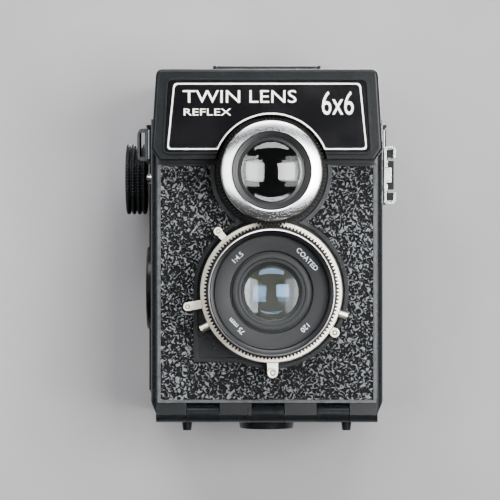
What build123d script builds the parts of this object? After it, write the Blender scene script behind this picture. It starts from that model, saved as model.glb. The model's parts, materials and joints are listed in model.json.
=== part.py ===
"""Twin lens reflex camera for 120 roll film, as an assembly of separate pieces.

Frame: origin at the centre of the tripod bush's mouth, +Z up, +Y from the lenses to the back door,
+X to the right of someone who faces the lenses. All lengths are in millimetres.
"""
from build123d import *

import os
from math import cos, pi, radians, sin, sqrt

# ---- driving dimensions ----
HALF_WIDTH = 41.6          # side walls of the body
FRONT_Y = -22.0            # outer face of the body's front wall
FILM_Y = 39.0              # film plane
WALL = 2.3                 # moulded wall thickness
BODY_BOTTOM = 5.9
BODY_TOP = 112.0
LENS_X = 1.5               # both lens axes stand this far right of the body's centre
TAKING_Z = 50.3
MODULE = 0.42              # tooth module of the two focusing rings
TAKING_TEETH = 112
VIEWING_TEETH = 90
VIEWING_Z = TAKING_Z + MODULE * (TAKING_TEETH + VIEWING_TEETH) / 2
GATE = 56.0                # square film gate
SPOOL_Y, SPOOL_Z = 26.8, 91.8          # take-up spool, in line with the winding knob
SUPPLY_Y, SUPPLY_Z = -4.0, 18.9        # bay for the full spool
SPOOL_R, SPOOL_LENGTH = 12.3, 62.6
HINGE_Y, HINGE_Z, KNUCKLE_R = -18.6, 6.6, 3.4
KNUCKLE_X, KNUCKLE_PITCH, KNUCKLE_W = 0.4, 23.3, 11.5
DOOR_BACK_Y = 45.0
DOOR_T = 2.5
HOOD_FRONT_Y = -31.0
HOOD_TOP = 129.3
RUN = 0.08                 # radial play of a turning fit


# ---- helpers ----
def block(x0, x1, y0, y1, z0, z1):
    """Box between two corners."""
    return Pos((x0 + x1) / 2, (y0 + y1) / 2, (z0 + z1) / 2) * Box(x1 - x0, y1 - y0, z1 - z0)


def rod_y(r, y0, y1, x=LENS_X, z=TAKING_Z):
    """Round bar along Y."""
    return Pos(x, (y0 + y1) / 2, z) * Rot(90, 0, 0) * Cylinder(r, abs(y1 - y0))


def rod_x(r, x0, x1, y, z):
    """Round bar along X."""
    return Pos((x0 + x1) / 2, y, z) * Rot(0, 90, 0) * Cylinder(r, abs(x1 - x0))


def rod_z(r, z0, z1, x, y):
    """Round bar along Z."""
    return Pos(x, y, (z0 + z1) / 2) * Cylinder(r, z1 - z0)


def ring_y(r_out, r_in, y0, y1, x=LENS_X, z=TAKING_Z):
    """Flat ring round a lens axis."""
    return rod_y(r_out, y0, y1, x, z) - rod_y(r_in, y0 - 1, y1 + 1, x, z)


def turned(points, z=TAKING_Z, x=LENS_X):
    """Solid turned round a lens axis from (radius, y) points."""
    face = make_face(Polyline(*points, close=True))
    return Pos(x, 0, z) * revolve(face, Axis.Y)


def front_slab(points, y0, y1):
    """Slab with an (x, z) outline, between two Y planes."""
    face = make_face(Polyline(*[(x, y0, z) for x, z in points], close=True))
    return extrude(face, y1 - y0, dir=(0, 1, 0))


def polar(radius, degrees, x=LENS_X, z=TAKING_Z):
    """(x, z) at a radius and an anticlockwise angle, seen from in front of the lens."""
    return x + radius * cos(radians(degrees)), z + radius * sin(radians(degrees))


def at_angle(shape, degrees, z=TAKING_Z):
    """Turns a shape anticlockwise round a lens axis, seen from in front."""
    return Pos(LENS_X, 0, z) * Rot(0, -degrees, 0) * Pos(-LENS_X, 0, -z) * shape


def gear_blank(teeth, y0, y1, z, first):
    """Toothed disc: straight-flanked teeth, the first one centred on angle first."""
    pitch_r = MODULE * teeth / 2
    tip_r, root_r = pitch_r + 0.36, pitch_r - 0.50
    tip_half, root_half = 0.17, 0.45
    points = []
    for k in range(teeth):
        middle = first + 360.0 * k / teeth
        for r, half in ((root_r, -root_half), (tip_r, -tip_half), (tip_r, tip_half), (root_r, root_half)):
            points.append(polar(r, middle + half / r * 180 / pi, LENS_X, z))
    return front_slab(points, y0, y1)


# ---- body ----
def body_outline():
    """Front view of the body with its cut lower corners."""
    w = HALF_WIDTH
    return [(-w, 11.0), (-w + 2.2, BODY_BOTTOM), (w - 2.2, BODY_BOTTOM), (w, 11.0), (w, BODY_TOP), (-w, BODY_TOP)]


def lens_well(grow, y0, y1):
    """The sunk area round both lenses, with a square corner at the lower left."""
    corner = 26.3 + grow
    well = rod_y(26.3 + grow, y0, y1) + rod_y(20.3 + grow, y0, y1, z=VIEWING_Z)
    return well + block(LENS_X - corner, LENS_X, y0, y1, TAKING_Z - 23.8 - grow, TAKING_Z)


def make_body_shell():
    shell = front_slab(body_outline(), FRONT_Y, 42.2)
    shell -= block(-HALF_WIDTH + WALL, HALF_WIDTH - WALL, FRONT_Y + WALL, 43, 0, BODY_TOP - WALL)
    shell -= block(-32.5, 32.5, FRONT_Y + WALL, 31, 100, 120)
    front_edges = shell.edges().filter_by(Axis.Z).filter_by_position(Axis.Y, FRONT_Y - 0.1, FRONT_Y + 0.1)
    shell = fillet(front_edges, 3.0)
    shell += block(HALF_WIDTH - 0.5, SHOE_X0, SHOE_Y0 + 0.6, SHOE_Y1 + 0.6, SHOE_Z0 + 2.0, SHOE_Z1 - 2.0)
    # raised border round the textured panel, and the rim round the lenses
    border = block(-39.15, 39.15, FRONT_Y - 1.2, FRONT_Y, 10.4, 96.2)
    border -= block(-38.0, 38.0, FRONT_Y - 2, FRONT_Y + 1, 11.5, 95.2)
    border = border - block(-50, 50, FRONT_Y - 3, FRONT_Y, 95.9, 99)
    rim = lens_well(1.5, FRONT_Y - 1.3, FRONT_Y) & block(-50, 50, FRONT_Y - 2, FRONT_Y, 0, 95.9)
    shell += (border + rim) - lens_well(0, FRONT_Y - 3, FRONT_Y)
    # hinge lugs along the bottom front edge, between the door's knuckles
    lug = rod_x(KNUCKLE_R, -39.6, 39.6, HINGE_Y, HINGE_Z) + block(-39.6, 39.6, FRONT_Y, FRONT_Y + WALL, HINGE_Z, 12)
    shell += lug
    for k in (-1, 0, 1):
        x = KNUCKLE_X + k * KNUCKLE_PITCH
        half = KNUCKLE_W / 2 + 0.2
        shell -= block(x - half, x + half, FRONT_Y - 2, HINGE_Y + KNUCKLE_R + 0.3, 0, HINGE_Z + KNUCKLE_R + 0.4)
    shell -= rod_x(1.0, -39.0, 39.0, HINGE_Y, HINGE_Z)
    # openings for the lenses, the winding shaft and the film memo dial's pivot
    shell -= rod_y(14.0, FRONT_Y - 3, FRONT_Y + 5)
    shell -= rod_y(16.2, FRONT_Y - 3, FRONT_Y + 5, z=VIEWING_Z)
    shell -= rod_x(2.08, -45, -35, SPOOL_Y, SPOOL_Z)
    shell -= rod_x(1.6, -45, -35, 5.0, 51.2)
    return shell


def make_light_baffle():
    """Tapered tunnel from the shutter to the film gate."""
    def tunnel(front_half, back_half, y0, y1):
        front = Plane(origin=(LENS_X, y0, TAKING_Z), z_dir=(0, 1, 0)) * Rectangle(2 * front_half, 2 * front_half)
        back = Plane(origin=(LENS_X, y1, TAKING_Z), z_dir=(0, 1, 0)) * Rectangle(2 * back_half, 2 * back_half)
        return loft([front, back])
    y0, y1 = FRONT_Y + WALL + 0.1, 34.5
    slope = (GATE / 2 + 0.4 - 13.0) / (y1 - y0)
    outer = tunnel(14.3, GATE / 2 + 1.7, y0, y1)
    inner = tunnel(13.0 - slope, GATE / 2 + 0.4 + slope, y0 - 1, y1 + 1)
    return outer - inner


ROLLER_Y, ROLLER_R = 37.0, 1.6
ROLLER_Z = {"lower": TAKING_Z - 31.0, "upper": TAKING_Z + 31.0}
ROLLER_X0, ROLLER_X1 = LENS_X - 31.5, LENS_X + 31.5


def make_film_gate():
    """Frame that the film runs over, with two polished rails and bearings for both rollers."""
    wall = HALF_WIDTH - WALL
    gate = block(-wall, wall, 34.6, 38.6, 13.4, 86.6)
    half = GATE / 2
    gate -= block(LENS_X - half, LENS_X + half, 30, 42, TAKING_Z - half, TAKING_Z + half)
    for z in ROLLER_Z.values():
        gate -= block(ROLLER_X0 - 0.3, ROLLER_X1 + 0.3, 30, 42, z - 1.9, z + 1.9)
        gate -= rod_x(0.9, ROLLER_X0 - 3, ROLLER_X1 + 3, ROLLER_Y, z)
    gate -= rod_x(SPOOL_R + 0.6, ROLLER_X0 - 0.3, ROLLER_X1 + 1.4, SPOOL_Y, SPOOL_Z)
    for x in (LENS_X - 31.0, LENS_X + 29.6):
        gate += block(x, x + 1.4, 38.6, FILM_Y, TAKING_Z - half, TAKING_Z + half)
    return gate


def make_film_roller(z):
    roller = rod_x(ROLLER_R, ROLLER_X0, ROLLER_X1, ROLLER_Y, z)
    return roller + rod_x(0.8, ROLLER_X0 - 2.6, ROLLER_X1 + 2.6, ROLLER_Y, z)


# ---- back door, hinged along its front bottom edge ----
WINDOW_X = (LENS_X, LENS_X + 18.0)
COVER_TRAVEL = 9.0
BOSS_R = 10.0


def make_back_door():
    edge = [(-40.0, 3.1), (40.0, 3.1), (44.2, 10.5), (44.2, 113.0), (-44.2, 113.0), (-44.2, 10.5)]
    door = front_slab(edge, DOOR_BACK_Y - DOOR_T, DOOR_BACK_Y)
    door += block(-40.0, 40.0, HINGE_Y + KNUCKLE_R + 0.3, DOOR_BACK_Y, 3.1, 5.6)
    for x0 in (-44.2, 42.8):
        door += block(x0, x0 + 1.4, 31.0, DOOR_BACK_Y, 12.0, 112.0)
    back_low = [e for e in door.edges().filter_by(Axis.X)
                if abs(e.center().Z - 3.1) < 0.01 and abs(e.center().Y - DOOR_BACK_Y) < 0.01]
    door = fillet(back_low, 2.2)
    for k in (-1, 0, 1):
        x = KNUCKLE_X + k * KNUCKLE_PITCH
        half = KNUCKLE_W / 2
        door += rod_x(KNUCKLE_R, x - half, x + half, HINGE_Y, HINGE_Z)
        door += block(x - half, x + half, HINGE_Y, HINGE_Y + KNUCKLE_R + 1, HINGE_Z - KNUCKLE_R + 0.1, 5.6)
    door -= rod_x(1.0, -39.0, 39.0, HINGE_Y, HINGE_Z)
    # tripod boss
    boss = Pos(0, 0, 1.55) * Cone(BOSS_R - 0.3, BOSS_R + 0.3, 3.1)
    door = door + boss - rod_z(4.6, -1, 5.0, 0, 0) - rod_z(3.7, 4, 7, 0, 0)
    # film number windows, with two rails that guide their sliding cover
    for x in WINDOW_X:
        door -= rod_y(3.7, 40, 46, x, TAKING_Z)
    for z0 in (TAKING_Z - 8.0, TAKING_Z + 6.6):
        rail = block(-21.0, 34.0, DOOR_BACK_Y, DOOR_BACK_Y + 1.5, z0, z0 + 1.4)
        lip_z = z0 if z0 > TAKING_Z else z0 + 1.4
        lip = block(-21.0, 34.0, DOOR_BACK_Y + 1.25, DOOR_BACK_Y + 1.9, lip_z - 0.9, lip_z + 0.9)
        door += rail + (lip & block(-21, 34, 40, 50, TAKING_Z - 8.0, TAKING_Z + 8.0))
    # slot that the latch button slides in
    door -= block(-9.0, 9.0, 42, 46, 104.0, 108.0)
    return door


def make_door_latch():
    """Ribbed button outside the door, with a neck through the slot and a hook plate inside."""
    latch = block(-8.0, 4.0, DOOR_BACK_Y + 0.15, DOOR_BACK_Y + 1.9, 102.4, 109.6)
    latch = fillet(latch.edges().filter_by(Axis.Y), 1.2)
    for k in range(5):
        x = -6.6 + 2.0 * k
        latch -= block(x, x + 0.8, DOOR_BACK_Y + 1.5, DOOR_BACK_Y + 2.5, 103.4, 108.6)
    latch += block(-6.5, 2.5, DOOR_BACK_Y - DOOR_T - 1.0, DOOR_BACK_Y + 0.5, 104.2, 107.8)
    return latch


def make_base_feet():
    """Four tapered pegs under the door."""
    feet = [Pos(x, y, 1.55) * Cone(1.5, 1.9, 3.1) for x in (-28.8, 28.8) for y in (-12.6, 38.0)]
    return feet


def make_tripod_bush():
    """Quarter inch bush; the bore is the thread's tapping size."""
    bush = rod_z(4.5, 0.0, 5.0, 0, 0) + rod_z(3.6, 0.2, 5.4, 0, 0)
    return bush - rod_z(2.6, -1, 7, 0, 0)


def make_pressure_plate():
    plate = block(LENS_X - 31.0, LENS_X + 31.0, FILM_Y + 0.3, FILM_Y + 1.3, TAKING_Z - 31.5, TAKING_Z + 31.5)
    plate = fillet(plate.edges().filter_by(Axis.Y), 3.0)
    for x in WINDOW_X:
        plate -= rod_y(4.0, 38, 42, x, TAKING_Z)
    return plate


def make_pressure_springs():
    """Two bowed leaf springs between the plate and the door."""
    springs = []
    for z in (TAKING_Z - 19.0, TAKING_Z + 19.0):
        y0, y1 = FILM_Y + 1.35, DOOR_BACK_Y - DOOR_T - 0.05
        bow = Spline((-20, y1 - 0.25), (0, y0), (20, y1 - 0.25))
        bow_back = Spline((20, y1), (0, y0 + 0.25), (-20, y1))
        face = make_face([bow, Line((20, y1 - 0.25), (20, y1)), bow_back, Line((-20, y1), (-20, y1 - 0.25))])
        springs.append(Pos(LENS_X, 0, z - 3) * extrude(face, 6))
    return springs


def make_red_windows():
    return [rod_y(3.6, 43.4, 44.6, x, TAKING_Z) for x in WINDOW_X]


def make_window_cover():
    """Slide with two holes that meet the windows when it is pushed across."""
    y0 = DOOR_BACK_Y + 0.15
    cover = block(-17.0, 24.5, y0, y0 + 1.0, TAKING_Z - 6.4, TAKING_Z + 6.4)
    for x in WINDOW_X:
        cover -= rod_y(3.6, 44, 48, x - COVER_TRAVEL, TAKING_Z)
    grip = block(-15.5, -13.0, y0 + 1.0, y0 + 2.2, TAKING_Z - 4.5, TAKING_Z + 4.5)
    return cover + grip


def make_hinge_pin():
    return rod_x(0.9, -38.8, 38.8, HINGE_Y, HINGE_Z)


# ---- finder: mirror, screen, hood ----
MIRROR_Y = 4.0
SCREEN_Z = 117.1
LID_Y, LID_Z = -17.9, 128.4
WELL_X, WELL_Y0, WELL_Y1 = 31.5, -19.0, 33.2
SIDE_FLAP_X, SIDE_FLAP_Z = 30.4, 121.8
REAR_FLAP_Y, REAR_FLAP_Z = 32.0, 124.0
MAGNIFIER_Y, MAGNIFIER_Z = 6.1, 126.1
SPORTS_Y, SPORTS_Z = -14.4, 130.75


def hood_outline(inset=0.0):
    """Front view of the hood housing, with rounded top corners."""
    half = [(38.6 - inset, 97.3 + inset), (41.1 - inset, 101.0 + inset * 0.4), (39.5 - inset, 126.9),
            (39.2 - inset, 128.2 - inset * 0.6), (38.4 - inset, 129.0 - inset * 0.9), (37.2 - inset, HOOD_TOP - inset)]
    return half + [(-x, z) for x, z in reversed(half)]


def plate_outline(grow):
    """Nameplate: tapers towards the top, with rounded corners and a round bite for the lens."""
    points = [(-36.3 - grow, 99.9 - grow), (36.3 + grow, 99.9 - grow), (34.9 + grow, 125.0 + grow),
              (-34.9 - grow, 125.0 + grow)]
    return points


def plate_slab(grow, bite, y0, y1):
    slab = front_slab(plate_outline(grow), y0, y1)
    slab = fillet(slab.edges().filter_by(Axis.Y), 1.5 + grow)
    return slab - rod_y(bite, y0 - 1, y1 + 1, z=VIEWING_Z)


def make_hood_housing():
    housing = front_slab(hood_outline(), HOOD_FRONT_Y, 41.0)
    front_top = [e for e in housing.edges()
                 if abs(e.center().Y - HOOD_FRONT_Y) < 0.01 and e.center().Z > 98.5]
    housing = fillet(front_top, 1.2)
    # it sits on the body, and its front apron hangs down before the body's front wall
    housing -= block(-60, 60, FRONT_Y - 0.1, 60, 90, BODY_TOP + 0.1)
    housing -= front_slab(hood_outline(2.0), HOOD_FRONT_Y + 2.2, 38.8)
    housing += block(-WELL_X - 1.5, WELL_X + 1.5, WELL_Y0 - 1.5, WELL_Y1 + 1.5, 115.4, 127.4)
    housing -= block(-WELL_X, WELL_X, WELL_Y0, WELL_Y1, SCREEN_Z - 0.05, 140)
    housing -= block(-WELL_X - 0.7, WELL_X + 0.7, WELL_Y0 - 0.9, WELL_Y1 + 2.0, 127.4, 140)
    housing -= block(-28.5, 30.5, -16.5, 29.5, 110, SCREEN_Z + 1)
    # collar round the viewing lens, and the seat and bezel of the nameplate
    collar = ring_y(21.6, 20.2, HOOD_FRONT_Y, FRONT_Y - 0.1, z=VIEWING_Z) & block(-60, 60, -60, 0, 97.3, 140)
    housing = housing - rod_y(20.2, -40, FRONT_Y, z=VIEWING_Z) + collar
    housing += plate_slab(0.9, 20.2, HOOD_FRONT_Y - 0.5, HOOD_FRONT_Y + 0.5)
    housing -= plate_slab(0.2, 20.0, HOOD_FRONT_Y - 2, HOOD_FRONT_Y + 0.4)
    housing += block(-5.4, 6.2, -24.5, -20.0, HOOD_TOP - 0.3, HOOD_TOP + 0.9)
    # bearings for the lid and the three flaps
    for side in (-1, 1):
        x0, x1 = sorted((side * (WELL_X + 0.7), side * (WELL_X + 3.4)))
        housing += block(x0, x1, LID_Y - 1.9, LID_Y + 1.9, 125.0, HOOD_TOP - 0.1)
    housing -= rod_x(0.9, -WELL_X - 2.6, WELL_X + 2.6, LID_Y, LID_Z)
    for side in (-1, 1):
        housing -= Pos(side * SIDE_FLAP_X, 7, SIDE_FLAP_Z) * Rot(90, 0, 0) * Cylinder(0.7, 54.4)
    housing -= rod_x(0.7, -WELL_X - 1.2, WELL_X + 1.2, REAR_FLAP_Y, REAR_FLAP_Z)
    return housing


def make_nameplate():
    return plate_slab(0.0, 20.4, HOOD_FRONT_Y - 0.25, HOOD_FRONT_Y + 0.35)


def make_focusing_screen():
    return block(-WELL_X + 0.2, WELL_X - 0.2, WELL_Y0 + 0.2, WELL_Y1 - 0.2, SCREEN_Z, SCREEN_Z + 1.5)


def on_mirror_plane(shape):
    """Places a flat shape whose top is z = 0 on the 45 degree plane that faces the lens and the screen."""
    return Pos(LENS_X, MIRROR_Y, VIEWING_Z) * Rot(45, 0, 0) * shape


def make_reflex_mirror():
    return on_mirror_plane(Pos(0, 0, -0.9) * Box(56, 60, 1.8))


def make_mirror_frame():
    frame = Pos(0, 0, -2.55) * Box(62, 60, 1.4)
    for side in (-1, 1):
        frame += Pos(side * 30.2, 0, -1.0) * Box(1.6, 60, 3.0)
    return on_mirror_plane(frame)


def make_hood_lid():
    lid = block(-32.0, 32.0, LID_Y - 0.8, 34.6, 127.8, 129.8)
    lid = fillet([e for e in lid.edges().filter_by(Axis.Z) if e.center().Y > 30], 2.5)
    lid -= block(-14.0, 14.0, -8.0, 18.0, 126, 132)
    for side in (-1, 1):
        x0, x1 = sorted((side * 13.6, side * 15.0))
        lid += block(x0, x1, MAGNIFIER_Y - 1.2, MAGNIFIER_Y + 1.2, MAGNIFIER_Z - 1.2, 128)
        x0, x1 = sorted((side * 18.2, side * 19.4))
        lid += block(x0, x1, SPORTS_Y - 0.9, SPORTS_Y + 0.9, 129, SPORTS_Z + 0.75)
    lid -= rod_x(0.6, -15.5, 15.5, MAGNIFIER_Y, MAGNIFIER_Z)
    lid -= rod_x(0.5, -19.1, 19.1, SPORTS_Y, SPORTS_Z)
    return lid + rod_x(0.8, -WELL_X - 2.4, WELL_X + 2.4, LID_Y, LID_Z)


def make_sports_flap():
    """Raised plate on the lid that folds away from the sight opening."""
    flap = block(-17.9, 17.9, SPORTS_Y + 0.2, 21.0, 129.95, 131.5)
    flap = fillet([e for e in flap.edges().filter_by(Axis.Z) if e.center().Y > 0], 2.0)
    flap += rod_x(0.75, -17.9, 17.9, SPORTS_Y, SPORTS_Z)
    return flap + rod_x(0.4, -19.0, 19.0, SPORTS_Y, SPORTS_Z)


def make_side_flap(side):
    """Side screen of the hood. Its cut corners let it rise under the lid and past the rear flap."""
    reach = 22.0
    outline = [(-17.2, 0), (-16.4, 7.5), (-6.0, reach), (8.4, reach), (30.4, 0)]
    points = [(side * (SIDE_FLAP_X - r), y) for y, r in outline]
    face = make_face(Polyline(*[(x, y, SIDE_FLAP_Z - 0.4) for x, y in points], close=True))
    flap = extrude(face, 0.8, dir=(0, 0, 1))
    flap += Pos(side * SIDE_FLAP_X, 6.6, SIDE_FLAP_Z) * Rot(90, 0, 0) * Cylinder(0.9, 47.6)
    return flap + Pos(side * SIDE_FLAP_X, 7, SIDE_FLAP_Z) * Rot(90, 0, 0) * Cylinder(0.55, 53.6)


def make_rear_flap():
    flap = block(-29.0, 29.0, REAR_FLAP_Y - 20.0, REAR_FLAP_Y, REAR_FLAP_Z - 0.4, REAR_FLAP_Z + 0.4)
    flap = fillet([e for e in flap.edges().filter_by(Axis.Z) if e.center().Y < 20], 2.0)
    flap -= block(-3.5, 3.5, REAR_FLAP_Y - 14.0, REAR_FLAP_Y - 7.0, 120, 127)
    flap += rod_x(0.85, -29.0, 29.0, REAR_FLAP_Y, REAR_FLAP_Z)
    return flap + rod_x(0.55, -WELL_X - 1.0, WELL_X + 1.0, REAR_FLAP_Y, REAR_FLAP_Z)


MAGNIFIER_CENTRE_Y = 19.4


def make_magnifier_frame():
    frame = block(-12.9, 12.9, MAGNIFIER_Y, 32.0, MAGNIFIER_Z - 0.5, MAGNIFIER_Z + 0.5)
    frame = fillet([e for e in frame.edges().filter_by(Axis.Z) if e.center().Y > 20], 6.0)
    frame -= rod_z(10.2, 120, 130, 0, MAGNIFIER_CENTRE_Y)
    frame += rod_x(0.9, -12.9, 12.9, MAGNIFIER_Y, MAGNIFIER_Z)
    return frame + rod_x(0.5, -14.8, 14.8, MAGNIFIER_Y, MAGNIFIER_Z)


def make_magnifier_lens():
    """Round glass, bulged on both sides."""
    return Pos(0, MAGNIFIER_CENTRE_Y, MAGNIFIER_Z) * Rot(90, 0, 0) * glass(10.2, -0.45, 0.6, 0.45, 0.6)


# ---- viewing lens ----
GEAR_Y0, GEAR_Y1 = -39.2, -33.6


def glass(r, front_y, front_sag, back_y, back_sag):
    """Lens element turned round Y: the sags are how far each face bulges outwards at its centre."""
    def face_curve(y, sag):
        if sag == 0:
            return Line((r, y), (0, y))
        sphere_r = (r * r + sag * sag) / (2 * abs(sag))
        drop = sphere_r - sqrt(sphere_r ** 2 - r * r / 4)
        return ThreePointArc((r, y), (r / 2, y + sag - (drop if sag > 0 else -drop)), (0, y + sag))
    front = face_curve(front_y, -front_sag)
    back = face_curve(back_y, back_sag)
    rim = Line((r, front_y), (r, back_y))
    axis = Line((0, front_y - front_sag), (0, back_y + back_sag))
    return revolve(make_face([front, axis, back, rim]), Axis.Y)


def lens_glass(r, front_y, front_sag, back_y, back_sag, z):
    return Pos(LENS_X, 0, z) * glass(r, front_y, front_sag, back_y, back_sag)


def make_viewing_sleeve():
    """Fixed threaded tube in the front wall."""
    sleeve = turned([(13.4, -36.5), (16.0, -36.5), (16.0, FRONT_Y + WALL), (13.4, FRONT_Y + WALL)], VIEWING_Z)
    return sleeve + ring_y(17.4, 15.5, -23.6, FRONT_Y, z=VIEWING_Z)


def make_viewing_gear_ring():
    """Toothed focusing ring with the barrel and the stepped black hood round the glass."""
    ring = gear_blank(VIEWING_TEETH, GEAR_Y0, GEAR_Y1, VIEWING_Z, 270 + 180 / VIEWING_TEETH)
    ring += ring_y(17.9, 16.3, -43.4, GEAR_Y0, z=VIEWING_Z)
    ring -= rod_y(16.0 + RUN, GEAR_Y0 - 0.01, GEAR_Y1 + 1, z=VIEWING_Z)
    ring += turned([(16.5, -43.4), (16.5, -41.4), (11.9, -41.4), (11.9, -42.6), (12.7, -42.8), (12.7, -43.5),
                    (13.6, -43.7), (13.6, -43.4)], VIEWING_Z)
    ring += turned([(13.2, -41.5), (13.2, -30.5), (11.6, -30.5), (11.6, -38.3), (11.9, -38.3), (11.9, -41.5)],
                   VIEWING_Z)
    return ring


def make_viewing_trim_ring():
    """Bright turned ring on the front of the viewing lens."""
    return turned([(17.75, -43.45), (17.75, -43.9), (17.45, -44.15), (14.1, -45.2), (13.75, -45.0),
                   (13.75, -43.45)], VIEWING_Z)


def make_viewing_glasses():
    front = lens_glass(11.8, -41.9, 1.5, -39.2, 0.4, VIEWING_Z)
    rear = lens_glass(11.3, -35.2, 0.2, -33.2, 1.1, VIEWING_Z)
    return [front, rear]


# ---- taking lens and shutter ----
IRIS_BLADES = 5
IRIS_PIVOT_R = 16.4
BLADE_T = 0.12
RIGHT_LEAF_Y, LEFT_LEAF_Y = -24.45, -24.2      # layers of the two shutter leaves
LEAF_PIVOT = (8.0, -16.0)


def iris_layer(k):
    """Front face of iris blade k. The first blade lies rearmost."""
    return -24.85 - 0.2 * k


def iris_pivot(k, root_y):
    """Stud that blade k swings on, from root_y through the blade."""
    y0 = iris_layer(k)
    end = y0 - 0.03 if root_y > y0 else y0 + BLADE_T + 0.03
    return at_angle(rod_y(0.5, min(root_y, end), max(root_y, end), LENS_X + IRIS_PIVOT_R), 90 + 360 * k / IRIS_BLADES)


def make_shutter_housing():
    """Back half of the shutter: floor, rim wall and the tube that goes through the body's wall."""
    housing = turned([(9.6, FRONT_Y), (9.6, -23.1), (21.8, -23.1), (21.8, -26.4), (24.6, -26.4), (24.6, FRONT_Y)])
    housing += iris_pivot(0, -22.8)
    for side, y0 in ((1, RIGHT_LEAF_Y), (-1, LEFT_LEAF_Y)):
        housing += rod_y(0.6, y0 - 0.05, -22.8, LENS_X + side * LEAF_PIVOT[0], TAKING_Z + side * LEAF_PIVOT[1])
    return housing + turned([(10.4, -22.5), (13.8, -22.5), (13.8, -19.8), (12.4, -19.8), (12.4, -15.0),
                             (11.4, -15.0), (11.4, -19.4), (10.4, -19.4)])


def make_shutter_cover():
    """Front plate of the shutter with the fixed tube that the front cell screws on."""
    cover = turned([(9.6, -25.8), (21.7, -25.8), (21.7, -26.4), (12.6, -26.4), (12.6, -39.0), (10.9, -39.0),
                    (10.9, -28.5), (9.6, -28.5)])
    for k in range(1, IRIS_BLADES):
        cover += iris_pivot(k, -26.1)
    return cover


def make_inner_glasses():
    middle = lens_glass(10.8, -30.6, -0.7, -28.5, -0.7, TAKING_Z)
    rear = lens_glass(11.3, -19.4, 0, -17.4, 1.5, TAKING_Z)
    return [middle, rear]


def make_iris_blade(k):
    """Thin curved blade with a hole near its broad end; each lies in its own layer."""
    y0 = iris_layer(k)
    blade = ring_y(19.6, 10.4, y0, y0 + BLADE_T)
    wedge = front_slab([polar(0, 0)] + [polar(60, a) for a in range(-12, 113, 31)], -30, -20)
    blade = (blade & wedge) - rod_y(0.5 + RUN, -30, -20, LENS_X + IRIS_PIVOT_R)
    return at_angle(blade, 90 + 360 * k / IRIS_BLADES)


def make_shutter_blade(side):
    """Half-round leaf on an arm that swings on a stud right of and below the axis, or the mirror of that."""
    y0 = RIGHT_LEAF_Y if side > 0 else LEFT_LEAF_Y
    leaf = rod_y(9.5, y0, y0 + BLADE_T, 0, 0) & block(-0.8, 20, -40, 0, -20, 20)
    leaf += front_slab([(5.6, -7.0), (9.2, -2.0), (10.2, -16.0), (8.0, -18.2), (5.8, -16.0)], y0, y0 + BLADE_T)
    leaf -= rod_y(0.6 + RUN, -30, -20, *LEAF_PIVOT)
    return Pos(LENS_X, 0, TAKING_Z) * Rot(0, 0 if side > 0 else 180, 0) * leaf


def lever_plate(y0, angle, arm_r, arm_w, head_r, head_front, thickness=0.8):
    """Flat ring that turns round the lens, with one arm and a round head to push."""
    plate = ring_y(24.0, 12.8, y0, y0 + thickness)
    arm = block(LENS_X + 20, LENS_X + arm_r, y0, y0 + thickness, TAKING_Z - arm_w / 2, TAKING_Z + arm_w / 2)
    head = rod_y(head_r, head_front, y0 + thickness, LENS_X + arm_r, TAKING_Z)
    cup = rod_y(head_r * 0.55, head_front - 1, head_front + 0.35, LENS_X + arm_r, TAKING_Z)
    arm = arm - rod_y(22.0, -60, 0)
    return plate + at_angle(arm + head - cup, angle)


SPEED_ANGLE, COCKING_ANGLE, APERTURE_ANGLE, RELEASE_ANGLE = 131.4, 190.2, 271.0, 327.1


def make_release_lever():
    return lever_plate(-27.4, RELEASE_ANGLE, 26.9, 2.6, 1.65, -28.6)


def make_cocking_lever():
    return lever_plate(-28.4, COCKING_ANGLE, 30.2, 3.0, 1.5, -29.9)


def make_aperture_lever():
    return lever_plate(-29.4, APERTURE_ANGLE, 28.8, 3.8, 1.8, -31.2)


def make_speed_ring():
    """Bright outer ring of the shutter with its setting arm."""
    ring = turned([(12.8, -29.7), (24.2, -29.7), (24.2, -29.5), (25.2, -29.5), (25.2, -31.4), (24.9, -31.8),
                   (12.8, -31.8)])
    arm = block(LENS_X + 24.0, LENS_X + 28.5, -30.8, -30.0, TAKING_Z - 1.15, TAKING_Z + 1.15)
    head = rod_y(1.5, -32.0, -30.0, LENS_X + 28.5, TAKING_Z)
    head -= rod_y(0.8, -33, -31.65, LENS_X + 28.5, TAKING_Z)
    arm = arm - rod_y(24.5, -60, 0) + head
    return ring + at_angle(arm, SPEED_ANGLE)


def make_shutter_sockets():
    """Flash socket at the lower left, and the cable release socket at the right."""
    sockets = []
    for angle, outer, bore, depth in ((208.5, 1.45, 0.9, 3.0), (342.0, 1.3, 0.8, 3.0)):
        body = rod_x(outer, LENS_X + 24.2, LENS_X + 28.6, -24.95, TAKING_Z)
        body -= rod_x(bore, LENS_X + 28.6 - depth, LENS_X + 29.0, -24.95, TAKING_Z)
        body -= rod_y(24.65, -60, 0)
        sockets.append(at_angle(body, angle))
    return sockets


FILTER_R = 20.1


def make_focus_ring():
    """Toothed focusing ring of the taking lens, with the filter thread at its front."""
    ring = gear_blank(TAKING_TEETH, GEAR_Y0, GEAR_Y1, TAKING_Z, 90)
    ring -= rod_y(12.6 + RUN, -60, 0)
    ring += turned([(22.7, GEAR_Y0), (22.5, -49.0), (21.9, -49.8), (21.5, -50.0), (21.3, -49.8), (20.4, -49.4),
                    (FILTER_R, -49.2), (FILTER_R, -45.4), (20.4, -45.4), (20.4, GEAR_Y0)])
    return ring


def make_lens_name_ring():
    """Black ring round the front glass, with the sunk cone that leads down to it."""
    return turned([(20.0, -45.4), (14.7, -45.4), (14.2, -44.4), (14.2, -44.0), (13.6, -44.0), (13.4, -45.1),
                   (12.0, -45.2), (11.7, -44.6), (10.6, -44.5), (10.2, -43.7), (9.5, -43.4), (9.5, -39.6),
                   (20.0, -39.6)])


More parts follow.
